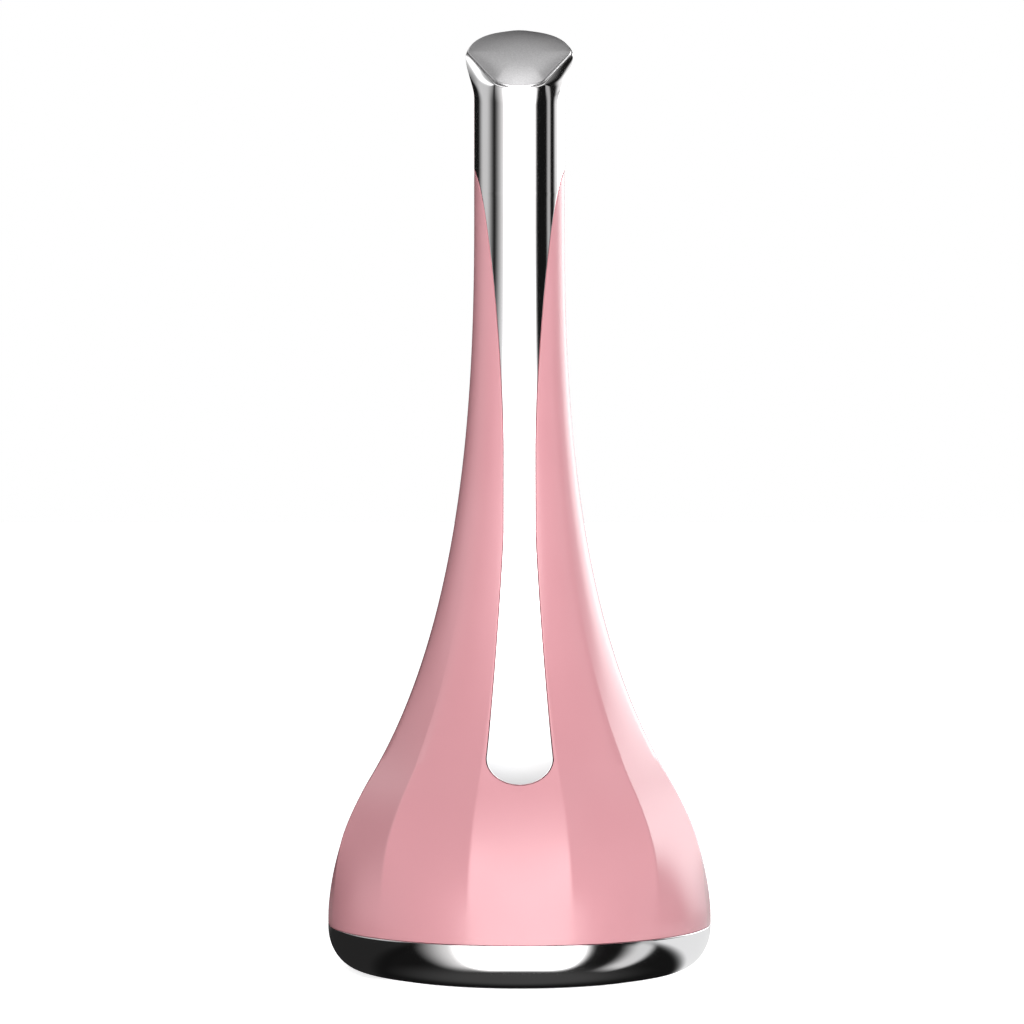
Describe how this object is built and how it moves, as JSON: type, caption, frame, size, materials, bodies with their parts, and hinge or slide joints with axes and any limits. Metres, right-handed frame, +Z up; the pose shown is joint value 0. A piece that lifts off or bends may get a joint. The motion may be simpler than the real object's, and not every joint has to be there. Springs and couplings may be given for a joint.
{
  "type": "heated eye massager wand",
  "caption": "Faceted pink bell with a slim neck, a polished front spine and a slanted warm massage plate; power button and charging socket at the back.",
  "frame": {"origin": "centre of the foot pad's underside, where the wand stands", "axes": "+Z up along the neck, -Y towards the front with the polished spine and the warm plate, +X to the right as seen from the front"},
  "size_m": [0.0564, 0.0564, 0.1397],
  "materials": {
    "pink_shell": "high gloss moulded plastic, rose pink",
    "polished_chrome": "mirror-polished plating",
    "satin_metal": "satin, bead-blasted",
    "dark_silicone": "matte silicone",
    "heater_film": "amber film",
    "foam": "silicone foam",
    "foam_black": "closed-cell foam",
    "natural_plastic": "natural moulded plastic",
    "black_plastic": "moulded black plastic",
    "screw_steel": "plated steel",
    "cell_wrap": "shrink-wrapped steel can",
    "nickel": "nickel strip",
    "board_green": "solder mask on glass-fibre board",
    "switch_red": "moulded plastic",
    "light_resin": "frosted clear resin",
    "motor_steel": "drawn steel can",
    "magnet_dark": "sintered metal",
    "copper_coil": "enamelled copper",
    "lead_sheath": "silicone lead"
  },
  "bodies": {
    "housing": {"body_shell": "pink_shell", "front_spine": "polished_chrome", "massage_plate": "satin_metal", "plate_gasket": "dark_silicone", "heater_disc": "heater_film", "heat_sensor": "black_plastic", "heat_insulator": "foam", "plate_carrier": "natural_plastic", "base_ring": "polished_chrome", "foot_pad": "dark_silicone", "base_screws": "screw_steel", "inner_frame": "black_plastic", "battery_cell": "cell_wrap", "battery_tabs": "nickel", "battery_pad": "foam_black", "main_board": "board_green", "board_chips": "black_plastic", "tact_switch": "black_plastic", "usb_socket": "screw_steel", "usb_tongue": "black_plastic", "status_led": "light_resin", "light_pipe": "light_resin", "motor_can": "motor_steel", "motor_magnet": "magnet_dark", "motor_cap": "natural_plastic", "motor_sleeve": "dark_silicone", "battery_leads": "lead_sheath", "heater_leads": "lead_sheath", "motor_leads": "lead_sheath"},
    "button": {"power_button": "polished_chrome"},
    "plunger": {"switch_plunger": "switch_red"},
    "rotor": {"motor_shaft": "screw_steel", "coil_cup": "copper_coil", "eccentric_weight": "magnet_dark"}
  },
  "joints": [
    {"name": "button_press", "type": "slide", "parent": "housing", "child": "button", "axis": [0, -1, 0], "range_m": [0, 0.00035], "stiffness_N_per_m": 1200},
    {"name": "plunger_press", "type": "slide", "parent": "housing", "child": "plunger", "axis": [0, -1, 0], "range_m": [0, 0.00035]},
    {"name": "rotor_spin", "type": "hinge", "parent": "housing", "child": "rotor", "pos_m": [0, 0, 0.101], "axis": [0, 0, 1], "continuous": true}
  ],
  "couplings": [
    {"joint": "plunger_press", "follows": "button_press", "ratio": 1}
  ]
}
